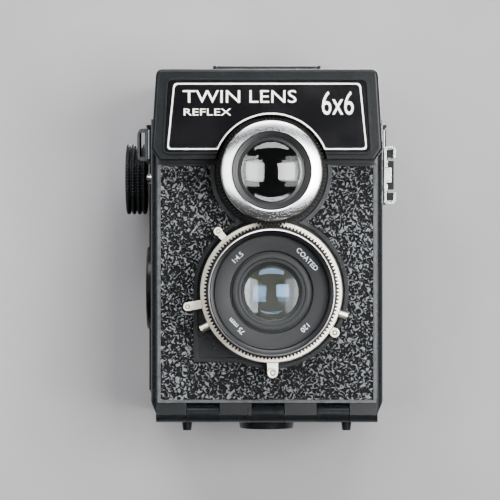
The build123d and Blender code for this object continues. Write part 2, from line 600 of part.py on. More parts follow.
def make_taking_front_glass():
    return lens_glass(9.4, -42.7, 1.7, -40.5, 0.5, TAKING_Z)


# ---- film transport ----
KNOB_X0, KNOB_X1 = -52.9, -44.7
KNOB_R = 13.3


def make_winding_knob():
    """Black knob with four rounded ridges, cut by shallow notches."""
    ridges = 4
    pitch = (KNOB_X1 - KNOB_X0) / ridges
    knob = rod_x(KNOB_R - 1.0, KNOB_X0 + 0.4, KNOB_X1, SPOOL_Y, SPOOL_Z)
    for k in range(ridges):
        x = KNOB_X0 + pitch * (k + 0.5)
        ridge = rod_x(KNOB_R, x - pitch * 0.4, x + pitch * 0.4, SPOOL_Y, SPOOL_Z)
        knob += fillet(ridge.edges(), pitch * 0.36)
    for k in range(12):
        notch = block(KNOB_X0 - 1, KNOB_X1 + 1, -0.6, 0.6, KNOB_R - 0.35, KNOB_R + 2)
        knob -= Pos(0, SPOOL_Y, SPOOL_Z) * Rot(30 * k + 8, 0, 0) * notch
    knob -= rod_x(9.0, KNOB_X0 - 1, KNOB_X0 + 0.8, SPOOL_Y, SPOOL_Z)
    knob -= rod_x(2.0, KNOB_X1 - 5, KNOB_X1 + 1, SPOOL_Y, SPOOL_Z)
    return knob


def make_winding_shaft():
    """Shaft with a retaining collar and a flat-sided key for the spool."""
    wall = HALF_WIDTH - WALL
    shaft = rod_x(2.0, KNOB_X1 - 5, -30.8, SPOOL_Y, SPOOL_Z) + rod_x(4.2, -wall + 0.2, -wall + 1.4, SPOOL_Y, SPOOL_Z)
    key = rod_x(2.8, -33.0, -25.0, SPOOL_Y, SPOOL_Z) & block(-34, -24, SPOOL_Y - 1.2, SPOOL_Y + 1.2, 80, 100)
    return shaft + key


def make_take_up_spool():
    x0, x1 = LENS_X - SPOOL_LENGTH / 2, LENS_X + SPOOL_LENGTH / 2
    spool = rod_x(5.6, x0, x1, SPOOL_Y, SPOOL_Z)
    for x in (x0, x1 - 0.9):
        spool += rod_x(SPOOL_R, x, x + 0.9, SPOOL_Y, SPOOL_Z)
    spool -= rod_x(3.1, x0 - 1, x0 + 7, SPOOL_Y, SPOOL_Z) + rod_x(3.1, x1 - 7, x1 + 1, SPOOL_Y, SPOOL_Z)
    spool -= block(x0 + 12, x1 - 12, SPOOL_Y - 0.6, SPOOL_Y + 0.6, SPOOL_Z - 8, SPOOL_Z + 8)
    return spool


def make_spool_pins():
    """Idler pin of the take-up spool, and the two pins that hold a full spool."""
    wall = HALF_WIDTH - WALL
    right = (rod_x(2.8, 27.5, wall, SPOOL_Y, SPOOL_Z) + rod_x(5.0, wall - 1.4, wall, SPOOL_Y, SPOOL_Z))
    low_left = (rod_x(2.8, -wall, -26.5, SUPPLY_Y, SUPPLY_Z) + rod_x(5.0, -wall, 1.4 - wall, SUPPLY_Y, SUPPLY_Z))
    low_right = (rod_x(2.8, 29.5, wall, SUPPLY_Y, SUPPLY_Z) + rod_x(5.0, wall - 1.4, wall, SUPPLY_Y, SUPPLY_Z))
    return [right, low_left, low_right]


# ---- side fittings ----
DIAL_Y, DIAL_Z = 5.0, 51.2


def make_memo_dial():
    """Low disc on the side that is turned to note which film is loaded."""
    x0 = -HALF_WIDTH - 2.2
    disc = rod_x(15.2, x0, -HALF_WIDTH - 0.1, DIAL_Y, DIAL_Z)
    disc = chamfer(disc.edges().sort_by(Axis.X)[0], 0.5)
    disc += rod_x(1.5, -HALF_WIDTH - 0.2, -HALF_WIDTH + 1.8, DIAL_Y, DIAL_Z)
    for side in (-1, 1):
        disc -= block(x0 - 1, x0 + 0.5, DIAL_Y - 9, DIAL_Y + 9, DIAL_Z + side * 3.0 - 0.7, DIAL_Z + side * 3.0 + 0.7)
    return disc


LUG_Y = 4.0
LUG_PIN_X = HALF_WIDTH + 1.6
LUG_Z0, LUG_Z1 = 98.0, 109.9


def make_lug_brackets():
    """Each bracket: a base, two ears and the pin that the strap lug swings on."""
    brackets = []
    for side in (-1, 1):
        wall = side * HALF_WIDTH
        x0, x1 = sorted((wall, wall + side * 0.5))
        part = block(x0, x1, LUG_Y - 3.0, LUG_Y + 1.6, LUG_Z0 - 1.6, LUG_Z1 + 1.6)
        x0, x1 = sorted((wall, wall + side * 2.6))
        for z0 in (LUG_Z0 - 1.2, LUG_Z1 + 0.2):
            part += block(x0, x1, LUG_Y - 1.1, LUG_Y + 1.1, z0, z0 + 1.0)
        part += rod_z(0.6, LUG_Z0 - 1, LUG_Z1 + 1, side * LUG_PIN_X, LUG_Y)
        brackets.append(part)
    return brackets


def make_strap_lug(side, open_degrees):
    """Flat loop on a barrel, modelled pointing back along the wall and then swung outwards."""
    reach = 6.2
    loop = block(-0.5, 0.5, 0, reach, LUG_Z0, LUG_Z1)
    loop = fillet([e for e in loop.edges().filter_by(Axis.X) if e.center().Y > 1], 2.6)
    loop -= block(-2, 2, 1.9, reach - 1.3, LUG_Z0 + 1.5, LUG_Z1 - 1.5)
    loop += rod_z(1.0, LUG_Z0 + 0.6, LUG_Z1 - 0.6, 0, 0)
    loop -= rod_z(0.7, LUG_Z0 - 1, LUG_Z1 + 1, 0, 0)
    loop = Rot(0, 0, -side * open_degrees) * loop
    return Pos(side * LUG_PIN_X, LUG_Y, 0) * loop


SHOE_X0 = HALF_WIDTH + 0.6
SHOE_DEPTH = 4.1
SHOE_SHEET = 0.8
SHOE_Y0, SHOE_Y1 = -18.4, -0.4
SHOE_Z0, SHOE_Z1 = 81.6, 102.4


def make_accessory_shoe():
    """Folded sheet channel on the right side; an accessory slides in from behind up to the front tab."""
    def channel(inset):
        """The folded section: a flat back, and two sides that turn in towards each other."""
        x0, x1 = SHOE_X0 + inset, SHOE_X0 + SHOE_DEPTH - inset
        part = block(x0, x1, SHOE_Y0 - inset, SHOE_Y1 + inset, SHOE_Z0 + inset, SHOE_Z1 - inset)
        return fillet([e for e in part.edges().filter_by(Axis.Y)], 1.3 - inset)
    shoe = channel(0) - channel(SHOE_SHEET)
    shoe -= block(SHOE_X0 + 2, 60, SHOE_Y0 - 1, SHOE_Y1 + 1, SHOE_Z0 + 4.3, SHOE_Z1 - 4.3)
    middle = (SHOE_Z0 + SHOE_Z1) / 2
    shoe += block(SHOE_X0, SHOE_X0 + 2.6, SHOE_Y0 - 0.4, SHOE_Y0 + 0.8, middle - 2.7, middle + 2.7)
    for z in (middle - 4.5, middle + 4.1):
        shoe += block(SHOE_X0, SHOE_X0 + 1.2, SHOE_Y0 - 0.6, SHOE_Y0 + 0.4, z - 1.2, z + 1.2)
    return shoe


def make_shoe_insulator():
    """Thin pad with an upright tongue behind the shoe's front tab, and an end stop inside each folded side."""
    x0 = SHOE_X0 + SHOE_SHEET
    middle = (SHOE_Z0 + SHOE_Z1) / 2
    pad = block(x0, x0 + 0.5, SHOE_Y0 + 1.2, SHOE_Y1 - 4.0, middle - 3.4, middle + 3.4)
    pad += block(x0, x0 + 0.5, SHOE_Y0 + 1.2, SHOE_Y0 + 2.6, SHOE_Z0 + 1.3, SHOE_Z1 - 1.3)
    for z0 in (SHOE_Z0 + 1.3, SHOE_Z1 - 4.1):
        pad += block(x0, x0 + 2.4, SHOE_Y0 + 1.2, SHOE_Y0 + 2.6, z0, z0 + 2.8)
    return pad + block(x0, x0 + 2.7, SHOE_Y0 + 1.2, SHOE_Y0 + 2.6, middle - 5.2, middle + 5.2)


def make_body_screws():
    """Four screws in the film gate and two in the shoe, all with slotted heads."""
    screws = []
    for x in (-37.0, 37.0):
        for z in (16.6, 83.6):
            head = rod_y(1.5, 38.6, 39.2, x, z)
            screws.append(head - block(x - 2, x + 2, 38.95, 40, z - 0.2, z + 0.2))
    middle = (SHOE_Z0 + SHOE_Z1) / 2
    x0 = SHOE_X0 + SHOE_SHEET
    for dz in (-6.6, 6.6):
        head = rod_x(1.45, x0, x0 + 0.6, -9.0, middle + dz)
        screws.append(head - block(x0 + 0.35, x0 + 2, -11, -7, middle + dz - 0.2, middle + dz + 0.2))
    return screws


def make_front_panel():
    """Sheet with a leather grain, set inside the raised border and cut round the lens well."""
    panel = block(-37.95, 37.95, FRONT_Y - 0.9, FRONT_Y, 11.55, 95.15)
    return panel - lens_well(1.6, FRONT_Y - 3, FRONT_Y + 1)


PARTS = {
    "body_shell": make_body_shell,
    "front_panel": make_front_panel,
    "light_baffle": make_light_baffle,
    "film_gate": make_film_gate,
    "film_roller_lower": lambda: make_film_roller(ROLLER_Z["lower"]),
    "film_roller_upper": lambda: make_film_roller(ROLLER_Z["upper"]),
    "hinge_pin": make_hinge_pin,
    "back_door": make_back_door,
    "door_latch": make_door_latch,
    "base_feet": make_base_feet,
    "tripod_bush": make_tripod_bush,
    "pressure_plate": make_pressure_plate,
    "pressure_springs": make_pressure_springs,
    "red_windows": make_red_windows,
    "window_cover": make_window_cover,
    "hood_housing": make_hood_housing,
    "nameplate": make_nameplate,
    "focusing_screen": make_focusing_screen,
    "reflex_mirror": make_reflex_mirror,
    "mirror_frame": make_mirror_frame,
    "hood_lid": make_hood_lid,
    "sports_flap": make_sports_flap,
    "left_flap": lambda: make_side_flap(-1),
    "right_flap": lambda: make_side_flap(1),
    "rear_flap": make_rear_flap,
    "magnifier_frame": make_magnifier_frame,
    "magnifier_lens": make_magnifier_lens,
    "viewing_sleeve": make_viewing_sleeve,
    "viewing_gear_ring": make_viewing_gear_ring,
    "viewing_trim_ring": make_viewing_trim_ring,
    "viewing_glasses": make_viewing_glasses,
    "shutter_housing": make_shutter_housing,
    "shutter_cover": make_shutter_cover,
    "inner_glasses": make_inner_glasses,
    "shutter_blade_right": lambda: make_shutter_blade(1),
    "shutter_blade_left": lambda: make_shutter_blade(-1),
    "release_lever": make_release_lever,
    "cocking_lever": make_cocking_lever,
    "aperture_lever": make_aperture_lever,
    "speed_ring": make_speed_ring,
    "shutter_sockets": make_shutter_sockets,
    "focus_ring": make_focus_ring,
    "lens_name_ring": make_lens_name_ring,
    "taking_front_glass": make_taking_front_glass,
    "winding_knob": make_winding_knob,
    "winding_shaft": make_winding_shaft,
    "take_up_spool": make_take_up_spool,
    "spool_pins": make_spool_pins,
    "memo_dial": make_memo_dial,
    "lug_brackets": make_lug_brackets,
    "strap_lug_left": lambda: make_strap_lug(-1, 43.0),
    "strap_lug_right": lambda: make_strap_lug(1, 0.0),
    "accessory_shoe": make_accessory_shoe,
    "shoe_insulator": make_shoe_insulator,
    "body_screws": make_body_screws,
}
for blade in range(IRIS_BLADES):
    PARTS[f"iris_blade_{blade + 1}"] = lambda blade=blade: make_iris_blade(blade)

os.makedirs("parts", exist_ok=True)
for name, make in PARTS.items():
    made = make()
    solids = made if isinstance(made, list) else made.solids()
    shape = solids[0] if len(solids) == 1 else Compound(children=list(solids))
    export_step(shape, f"parts/{name}.step")
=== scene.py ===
"""Twin lens reflex camera: its surfaces and fine detail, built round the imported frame."""
import json
from math import atan2, cos, hypot, pi, radians, sin

import bmesh
import bpy
from mathutils import Matrix, Vector, noise

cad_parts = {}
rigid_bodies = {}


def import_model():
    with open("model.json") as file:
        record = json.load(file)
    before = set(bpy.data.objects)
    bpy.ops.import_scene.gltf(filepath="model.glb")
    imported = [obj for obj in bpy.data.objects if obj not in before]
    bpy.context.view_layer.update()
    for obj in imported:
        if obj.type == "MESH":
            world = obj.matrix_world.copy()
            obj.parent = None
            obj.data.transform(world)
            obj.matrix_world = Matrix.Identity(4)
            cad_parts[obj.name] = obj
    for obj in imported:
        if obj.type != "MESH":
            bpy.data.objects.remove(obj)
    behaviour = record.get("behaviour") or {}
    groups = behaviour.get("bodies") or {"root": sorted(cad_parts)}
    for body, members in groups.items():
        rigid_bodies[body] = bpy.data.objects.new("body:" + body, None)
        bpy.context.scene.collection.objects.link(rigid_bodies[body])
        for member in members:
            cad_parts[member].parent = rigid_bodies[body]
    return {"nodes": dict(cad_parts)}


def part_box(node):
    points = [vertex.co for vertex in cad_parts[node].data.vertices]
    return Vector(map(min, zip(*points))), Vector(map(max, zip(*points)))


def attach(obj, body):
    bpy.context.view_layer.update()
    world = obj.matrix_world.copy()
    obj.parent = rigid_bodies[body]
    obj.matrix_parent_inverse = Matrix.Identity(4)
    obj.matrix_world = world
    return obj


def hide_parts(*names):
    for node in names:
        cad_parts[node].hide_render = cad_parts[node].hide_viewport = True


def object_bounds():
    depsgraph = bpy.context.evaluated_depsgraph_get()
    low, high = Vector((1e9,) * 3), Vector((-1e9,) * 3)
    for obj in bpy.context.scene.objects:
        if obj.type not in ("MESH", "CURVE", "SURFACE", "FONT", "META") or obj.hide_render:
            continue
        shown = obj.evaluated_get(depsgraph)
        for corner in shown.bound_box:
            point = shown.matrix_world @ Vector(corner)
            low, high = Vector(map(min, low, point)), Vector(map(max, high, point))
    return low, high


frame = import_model()
cad_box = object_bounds()
nodes = frame["nodes"]


# ---- Body shell, back door and hood housing ----
# Black ABS, injection moulded with a satin finish. The shell, the door and the housing are separate mouldings
# that meet along plain edges, which are a little rounded by the mould and by handling.

MM = 0.001
HOUSING_BLACK = "0d0f10"
SCRATCHED = "17191b"               # in its finest scratches
HIGHLIGHT_GREY = "414346"                  # lighter grey painted on the raised border and the rim, a painted highlight
BORDER_X, BORDER_Z, BORDER_TOP = 37.6 * MM, 11.6 * MM, 95.5 * MM
BORDER_Y = -22.5 * MM              # in front of this the border and the rim stand out
RIM_CENTRE, RIM_RADIUS, RIM_LOWEST = (1.5 * MM, 92.7 * MM), 23.4 * MM, 71.5 * MM
RIM_SHARE = 0.45                   # how strongly the painted highlight shows on the rim, against the border's 1
EDGE_RADIUS = 0.35 * MM
MOULD_TEXTURE = 0.25 * MM          # spark eroded texture of the mould
MIX_A, MIX_B, MIX_RESULT = 6, 7, 2  # the colour sockets of a Mix node


def linear(colour):
    """An sRGB hex colour as linear RGBA."""
    parts = [int(colour[i:i + 2], 16) / 255 for i in (0, 2, 4)]
    return [c / 12.92 if c <= 0.04045 else ((c + 0.055) / 1.055) ** 2.4 for c in parts] + [1.0]


def new_material(name):
    """A material with an empty node tree apart from its output."""
    material = bpy.data.materials.new(name)
    material.use_nodes = True
    material.node_tree.nodes.clear()
    material.node_tree.nodes.new("ShaderNodeOutputMaterial")
    return material


def add(material, kind, inputs=None, **settings):
    """Adds a node. Each input takes a number, a colour or another node's output socket."""
    tree = material.node_tree
    node = tree.nodes.new(kind)
    for key, value in settings.items():
        setattr(node, key, value)
    for key, value in (inputs or {}).items():
        if isinstance(value, bpy.types.NodeSocket):
            tree.links.new(value, node.inputs[key])
        else:
            node.inputs[key].default_value = value
    if "BSDF" in node.outputs:
        tree.links.new(node.outputs["BSDF"], tree.nodes["Material Output"].inputs["Surface"])
    return node


def ramp(material, factor, stops):
    """A colour ramp from (position, grey level or hex colour) stops."""
    node = add(material, "ShaderNodeValToRGB", {"Fac": factor})
    elements = node.color_ramp.elements
    while len(elements) < len(stops):
        elements.new(0.5)
    for element, (position, level) in zip(elements, stops):
        element.position = position
        element.color = (level, level, level, 1) if not isinstance(level, str) else linear(level)
    return node.outputs["Color"]


def figure(material, operation, one, other):
    """Output of a Math node."""
    return add(material, "ShaderNodeMath", {0: one, 1: other}, operation=operation).outputs[0]


def from_axis(material, where, x, z):
    """Distance from the line along Y through x and z."""
    away = add(material, "ShaderNodeVectorMath", {0: where, 1: (x, 0.0, z)}, operation="SUBTRACT")
    flat = add(material, "ShaderNodeVectorMath", {0: away.outputs["Vector"], 1: (1.0, 0.0, 1.0)},
               operation="MULTIPLY")
    reach = add(material, "ShaderNodeVectorMath", {0: flat.outputs["Vector"]}, operation="LENGTH")
    return reach.outputs["Value"]


def painted_highlight_grey(material, where, tint):
    """Painted highlight: the tint turns grey on the raised border of the front and on the rim round the
    viewing lens.
    """
    at = add(material, "ShaderNodeSeparateXYZ", {"Vector": where})
    sideways = figure(material, "GREATER_THAN", figure(material, "ABSOLUTE", at.outputs["X"], 0.0), BORDER_X)
    below = figure(material, "LESS_THAN", at.outputs["Z"], BORDER_Z)
    near = figure(material, "LESS_THAN", from_axis(material, where, *RIM_CENTRE), RIM_RADIUS)
    rim = figure(material, "MULTIPLY", near, figure(material, "GREATER_THAN", at.outputs["Z"], RIM_LOWEST))
    border = figure(material, "MAXIMUM", figure(material, "MAXIMUM", sideways, below),
                    figure(material, "MULTIPLY", rim, RIM_SHARE))
    front = figure(material, "MULTIPLY", figure(material, "LESS_THAN", at.outputs["Y"], BORDER_Y),
                   figure(material, "LESS_THAN", at.outputs["Z"], BORDER_TOP))
    patchy = add(material, "ShaderNodeTexNoise", {"Vector": where, "Scale": 500.0, "Detail": 5.0})
    part = add(material, "ShaderNodeMapRange", {"Value": patchy.outputs["Fac"], "From Min": 0.3,
                                                "From Max": 0.6, "To Min": 0.55, "To Max": 1.0}).outputs[0]
    amount = figure(material, "MULTIPLY", figure(material, "MULTIPLY", border, part), front)
    blend = add(material, "ShaderNodeMix", {"Factor": amount}, data_type="RGBA")
    material.node_tree.links.new(tint, blend.inputs[MIX_A])
    blend.inputs[MIX_B].default_value = linear(HIGHLIGHT_GREY)
    return blend.outputs[MIX_RESULT]


def moulded_plastic(name, colour, roughness, edge=EDGE_RADIUS, shine=0.15, edge_highlight=False):
    """Satin plastic: fine mould texture, faint cloudy variation of gloss, and rounded edges."""
    material = new_material(name)
    where = add(material, "ShaderNodeTexCoord").outputs["Object"]
    grit = add(material, "ShaderNodeTexNoise", {"Vector": where, "Scale": 1 / MOULD_TEXTURE, "Detail": 2.0})
    cloud = add(material, "ShaderNodeTexNoise", {"Vector": where, "Scale": 60.0, "Detail": 4.0})
    scratch = add(material, "ShaderNodeTexNoise", {"Vector": where, "Scale": 400.0, "Detail": 6.0,
                                                   "Distortion": 2.0})
    gloss = add(material, "ShaderNodeMath", {0: cloud.outputs["Fac"], 1: 0.10, 2: roughness - 0.05},
                operation="MULTIPLY_ADD")
    tint = ramp(material, scratch.outputs["Fac"], [(0.35, colour), (0.8, SCRATCHED)])
    # Painted highlight: lighter grey on the raised border of the front and on the rim round the viewing lens.
    if edge_highlight:
        tint = painted_highlight_grey(material, where, tint)
    rounded = add(material, "ShaderNodeBevel", {"Radius": edge}, samples=4)
    bump = add(material, "ShaderNodeBump", {"Height": grit.outputs["Fac"], "Strength": 0.25,
                                            "Distance": 0.03 * MM, "Normal": rounded.outputs["Normal"]})
    add(material, "ShaderNodeBsdfPrincipled", {"Base Color": tint, "Roughness": gloss.outputs[0], "IOR": 1.5,
                                               "Specular IOR Level": shine, "Normal": bump.outputs["Normal"]})
    return material


def dress(material, *names):
    """Gives CAD nodes a material."""
    for name in names:
        slots = nodes[name].data.materials
        slots.clear()
        slots.append(material)


housing_plastic = moulded_plastic("satin_abs_black", HOUSING_BLACK, 0.26)
# The body shell gets the painted highlight on its raised border and rim.
highlighted_plastic = moulded_plastic("satin_abs_black_painted_highlight", HOUSING_BLACK, 0.28, shine=0.26, edge_highlight=True)
dress(highlighted_plastic, "body_shell")
dress(housing_plastic, "back_door", "hood_housing", "hood_lid", "sports_flap", "base_feet",
      "window_cover", "door_latch", "memo_dial", "shoe_insulator", "take_up_spool", "lug_brackets")


# ---- Grained front panel ----
# A vinyl sheet embossed with an irregular leather grain, glued inside the raised border. The tops of the
# grain are coloured a lighter grey as a painted highlight, and the channels between them near black as
# painted shade.

GRAIN = 0.80 * MM                  # width of one island of the grain
GRAIN_DEPTH = 0.42 * MM
PANEL_STEP = 0.21 * MM
RIM_HIDES = 27.2 * MM, 21.1 * MM   # the panel's cut edge lies under the rims of this radius
POCKET_HIDES = 24.7 * MM

taking = sum(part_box("lens_name_ring"), Vector()) / 2
viewing = sum(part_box("viewing_trim_ring"), Vector()) / 2


def finished(name, shape, body, material, replaced=(), sharp=35, bevel=None):
    """Makes a mesh object of a bmesh, and has it ride on a body."""
    mesh = bpy.data.meshes.new(name)
    shape.to_mesh(mesh)
    shape.free()
    mesh.shade_smooth()
    mesh.set_sharp_from_angle(angle=radians(sharp))
    mesh.materials.append(material)
    piece = bpy.data.objects.new(name, mesh)
    bpy.context.collection.objects.link(piece)
    if bevel:
        edge = piece.modifiers.new("edges", "BEVEL")
        edge.width, edge.segments, edge.limit_method, edge.angle_limit = bevel * MM, 2, "ANGLE", radians(32)
        edge.harden_normals = True
    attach(piece, body)
    if replaced:
        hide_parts(*replaced)
    return piece


def smooth_step(low, high, value):
    t = min(max((value - low) / (high - low), 0), 1)
    return t * t * (3 - 2 * t)


def grain_height(x, z):
    """Height of the embossing, from 0 in the channels to 1 on the islands."""
    bend = Vector((noise.noise((x / GRAIN * 0.6, z / GRAIN * 0.6, 7.0)),
                   noise.noise((x / GRAIN * 0.6, z / GRAIN * 0.6, 19.0)), 0)) * 1.1
    at = Vector((x / GRAIN, z / GRAIN, 3.0)) + bend
    coarse = noise.noise(at * 1.25)
    fine = noise.noise(at * 2.6 + Vector((11, 5, 0)))
    return smooth_step(0.0, 0.22, coarse + 0.30 * fine) + 0.08 * fine


def make_front_panel():
    low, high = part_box("front_panel")
    size = high - low
    sheet = bmesh.new()
    across, up = int(size.x / PANEL_STEP), int(size.z / PANEL_STEP)
    bmesh.ops.create_grid(sheet, x_segments=across, y_segments=up, size=0.5)
    bmesh.ops.transform(sheet, verts=sheet.verts, matrix=Matrix.Translation((low + high) / 2)
                        @ Matrix.Rotation(pi / 2, 4, "X") @ Matrix.Diagonal((size.x, size.z, 1, 1)))
    def in_well(v):
        from_taking, from_viewing = v.co - taking, v.co - viewing
        pocket = -POCKET_HIDES - 2.4 * MM < from_taking.x < 0 and -POCKET_HIDES < from_taking.z < 0
        return (hypot(from_taking.x, from_taking.z) < RIM_HIDES[0] or pocket
                or hypot(from_viewing.x, from_viewing.z) < RIM_HIDES[1])
    bmesh.ops.delete(sheet, geom=[v for v in sheet.verts if in_well(v)], context="VERTS")
    loose = [v for v in sheet.verts if not v.link_faces]
    bmesh.ops.delete(sheet, geom=loose, context="VERTS")
    for v in sheet.verts:
        v.co.y = low.y + GRAIN_DEPTH * (1 - grain_height(v.co.x, v.co.z))
    rim = [e for e in sheet.edges if e.is_boundary]
    skirt = bmesh.ops.extrude_edge_only(sheet, edges=rim)["geom"]
    for v in skirt:
        if isinstance(v, bmesh.types.BMVert):
            v.co.y = high.y - 0.02 * MM
    back = [e for e in skirt if isinstance(e, bmesh.types.BMEdge) and e.is_boundary]
    bmesh.ops.triangle_fill(sheet, edges=back, use_beauty=True)
    bmesh.ops.recalc_face_normals(sheet, faces=sheet.faces)
    return sheet


def embossed_vinyl():
    material = new_material("embossed_vinyl_black")
    where = add(material, "ShaderNodeTexCoord").outputs["Object"]
    depth = add(material, "ShaderNodeSeparateXYZ", {"Vector": where}).outputs["Y"]
    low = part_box("front_panel")[0]
    height = add(material, "ShaderNodeMapRange", {"Value": depth, "From Min": low.y + GRAIN_DEPTH,
                                                  "From Max": low.y, "To Min": 0.0, "To Max": 1.0}).outputs[0]
    speckle = add(material, "ShaderNodeTexNoise", {"Vector": where, "Scale": 3200.0, "Detail": 3.0})
    # Painted highlight and shade: near black in the channels, lighter grey on the tops, by the height of the
    # grain.
    tint = ramp(material, height, [(0.3, "090909"), (0.75, "424446"), (1.0, "606265")])
    gloss = ramp(material, height, [(0.2, 0.6), (0.85, 0.30)])
    bump = add(material, "ShaderNodeBump", {"Height": speckle.outputs["Fac"], "Strength": 0.35,
                                            "Distance": 0.05 * MM})
    add(material, "ShaderNodeBsdfPrincipled", {"Base Color": tint, "Roughness": gloss, "IOR": 1.5,
                                               "Specular IOR Level": 0.07, "Normal": bump.outputs["Normal"]})
    return material


finished("grained_panel", make_front_panel(), "root", embossed_vinyl(), ["front_panel"],
         sharp=80)


# ---- Nameplate ----
# A thin plate in gloss black enamel, glued into its seat in the hood housing. A raised off-white line runs
# round its edge and follows the lens, and the words are printed in the same white.

LINE_WIDTH = 0.5 * MM
LINE_INSET = 1.0 * MM
LINE_HEIGHT = 0.06 * MM
LINE_BEND = 20.75 * MM

plate_low, plate_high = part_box("nameplate")


def plain_paint(name, colour, roughness, shine=0.2, grit=2500.0, strength=0.1):
    """Paint, enamel or print: one colour with a fine uneven surface."""
    material = new_material(name)
    where = add(material, "ShaderNodeTexCoord").outputs["Object"]
    uneven = add(material, "ShaderNodeTexNoise", {"Vector": where, "Scale": grit, "Detail": 3.0})
    cloud = add(material, "ShaderNodeTexNoise", {"Vector": where, "Scale": 90.0, "Detail": 5.0})
    gloss = add(material, "ShaderNodeMath", {0: cloud.outputs["Fac"], 1: 0.2, 2: roughness - 0.1},
                operation="MULTIPLY_ADD")
    bump = add(material, "ShaderNodeBump", {"Height": uneven.outputs["Fac"], "Strength": strength,
                                            "Distance": 0.02 * MM})
    add(material, "ShaderNodeBsdfPrincipled", {"Base Color": linear(colour), "Roughness": gloss.outputs[0],
                                               "Specular IOR Level": shine, "Normal": bump.outputs["Normal"]})
    return material


enamel = plain_paint("gloss_black_enamel", "08080a", 0.18)
off_white = plain_paint("off_white_print", "f1f0e6", 0.45)
dress(enamel, "nameplate")


def line_route(offset):
    """Centre line of the white border: a tapered frame whose bottom edge goes round the lens."""
    bottom, top = plate_low.z + LINE_INSET + offset, plate_high.z - LINE_INSET - offset
    wide = plate_high.x - LINE_INSET - offset
    narrow = wide - 2.3 * MM
    bend = LINE_BEND + offset
    rise = bottom - viewing.z
    reach = (bend * bend - rise * rise) ** 0.5
    corners = [(-wide, bottom), (-narrow, top), (narrow, top), (wide, bottom)]
    points = []
    for k, (x, z) in enumerate(corners):
        before = Vector(corners[k - 1]) if k else Vector((viewing.x - reach, bottom))
        after = Vector(corners[k + 1]) if k < 3 else Vector((viewing.x + reach, bottom))
        corner = Vector((x, z))
        to_before, to_after = (before - corner).normalized(), (after - corner).normalized()
        radius = 1.5 * MM
        for step in range(9):
            t = step / 8
            points.append(corner + to_before * radius * (1 - t) ** 2 + to_after * radius * t ** 2)
    start, end = atan2(rise, reach), pi - atan2(rise, reach)
    for step in range(65):
        angle = start + (end - start) * step / 64
        points.append(Vector((viewing.x + bend * cos(angle), viewing.z + bend * sin(angle))))
    return points


def make_white_line():
    shape = bmesh.new()
    loops = []
    for offset in (-LINE_WIDTH / 2, LINE_WIDTH / 2):
        verts = [shape.verts.new((p.x, plate_low.y - 0.005 * MM, p.y)) for p in line_route(offset)]
        loops.append([shape.edges.new(pair) for pair in zip(verts, verts[1:] + verts[:1])])
    flat = bmesh.ops.bridge_loops(shape, edges=loops[0] + loops[1])["faces"]
    top = bmesh.ops.extrude_face_region(shape, geom=flat)["geom"]
    raised = [v for v in top if isinstance(v, bmesh.types.BMVert)]
    bmesh.ops.translate(shape, verts=raised, vec=(0, -LINE_HEIGHT, 0))
    bmesh.ops.recalc_face_normals(shape, faces=shape.faces)
    return shape


finished("nameplate_line", make_white_line(), "root", off_white)


def printed(name, words, height, place, body, material, turn=0.0, centre=None, thick=0.04, width=1.0):
    """Printed or engraved lettering as thin solid shapes. Place is the baseline's start, or its middle with
    centre."""
    text = bpy.data.curves.new(name, "FONT")
    text.body = words
    text.size = height / 0.70
    text.extrude = thick * MM / 2
    text.align_x = "CENTER" if centre else "LEFT"
    text.resolution_u = 3
    letters = bpy.data.objects.new(name + "_curve", text)
    bpy.context.collection.objects.link(letters)
    bpy.context.view_layer.update()
    mesh = bpy.data.meshes.new_from_object(letters)
    bpy.data.objects.remove(letters)
    stand = Matrix.Rotation(pi / 2, 4, "X")
    mesh.transform(Matrix.Translation(place) @ Matrix.Rotation(-turn, 4, "Y") @ stand
                   @ Matrix.Diagonal((width, 1, 1, 1)))
    shape = bmesh.new()
    shape.from_mesh(mesh)
    bmesh.ops.remove_doubles(shape, verts=shape.verts, dist=0.001 * MM)
    return finished(name, shape, body, material)


word_y = plate_low.y - 0.01 * MM
printed("nameplate_word", "TWIN LENS", 4.5 * MM, (-30.0 * MM, word_y, 117.3 * MM), "root", off_white,
        width=1.22)
printed("nameplate_small_word", "REFLEX", 2.45 * MM, (-29.9 * MM, word_y, 112.8 * MM), "root", off_white,
        width=1.5)
printed("nameplate_format", "6x6", 8.4 * MM, (19.1 * MM, word_y, 113.1 * MM), "root", off_white,
        width=0.66)


# ---- Metal rings and levers of the shutter ----
# Brass parts, turned or stamped and then nickel plated, which gives a warm silver. The toothed focusing rings
# are blackened brass, worn a little brown. The springs are bare steel and the tripod bush is bare brass.


def plated(name, colour, roughness, worn=None, edge=0.12 * MM, grain=1500.0):
    """Plated metal with a fine polished grain and slightly rounded edges."""
    material = new_material(name)
    where = add(material, "ShaderNodeTexCoord").outputs["Object"]
    fine = add(material, "ShaderNodeTexNoise", {"Vector": where, "Scale": grain, "Detail": 4.0})
    cloud = add(material, "ShaderNodeTexNoise", {"Vector": where, "Scale": 160.0, "Detail": 5.0})
    gloss = add(material, "ShaderNodeMath", {0: cloud.outputs["Fac"], 1: 0.22, 2: roughness - 0.11},
                operation="MULTIPLY_ADD")
    tint = ramp(material, cloud.outputs["Fac"], [(0.35, colour), (0.7, worn or colour)])
    bump = add(material, "ShaderNodeBump", {"Height": fine.outputs["Fac"], "Strength": 0.12,
                                            "Distance": 0.02 * MM})
    if edge:
        rounded = add(material, "ShaderNodeBevel", {"Radius": edge}, samples=4)
        material.node_tree.links.new(rounded.outputs["Normal"], bump.inputs["Normal"])
    finish = {"Base Color": tint, "Metallic": 1.0, "Roughness": gloss.outputs[0]}
    add(material, "ShaderNodeBsdfPrincipled", {**finish, "Normal": bump.outputs["Normal"]})
    return material


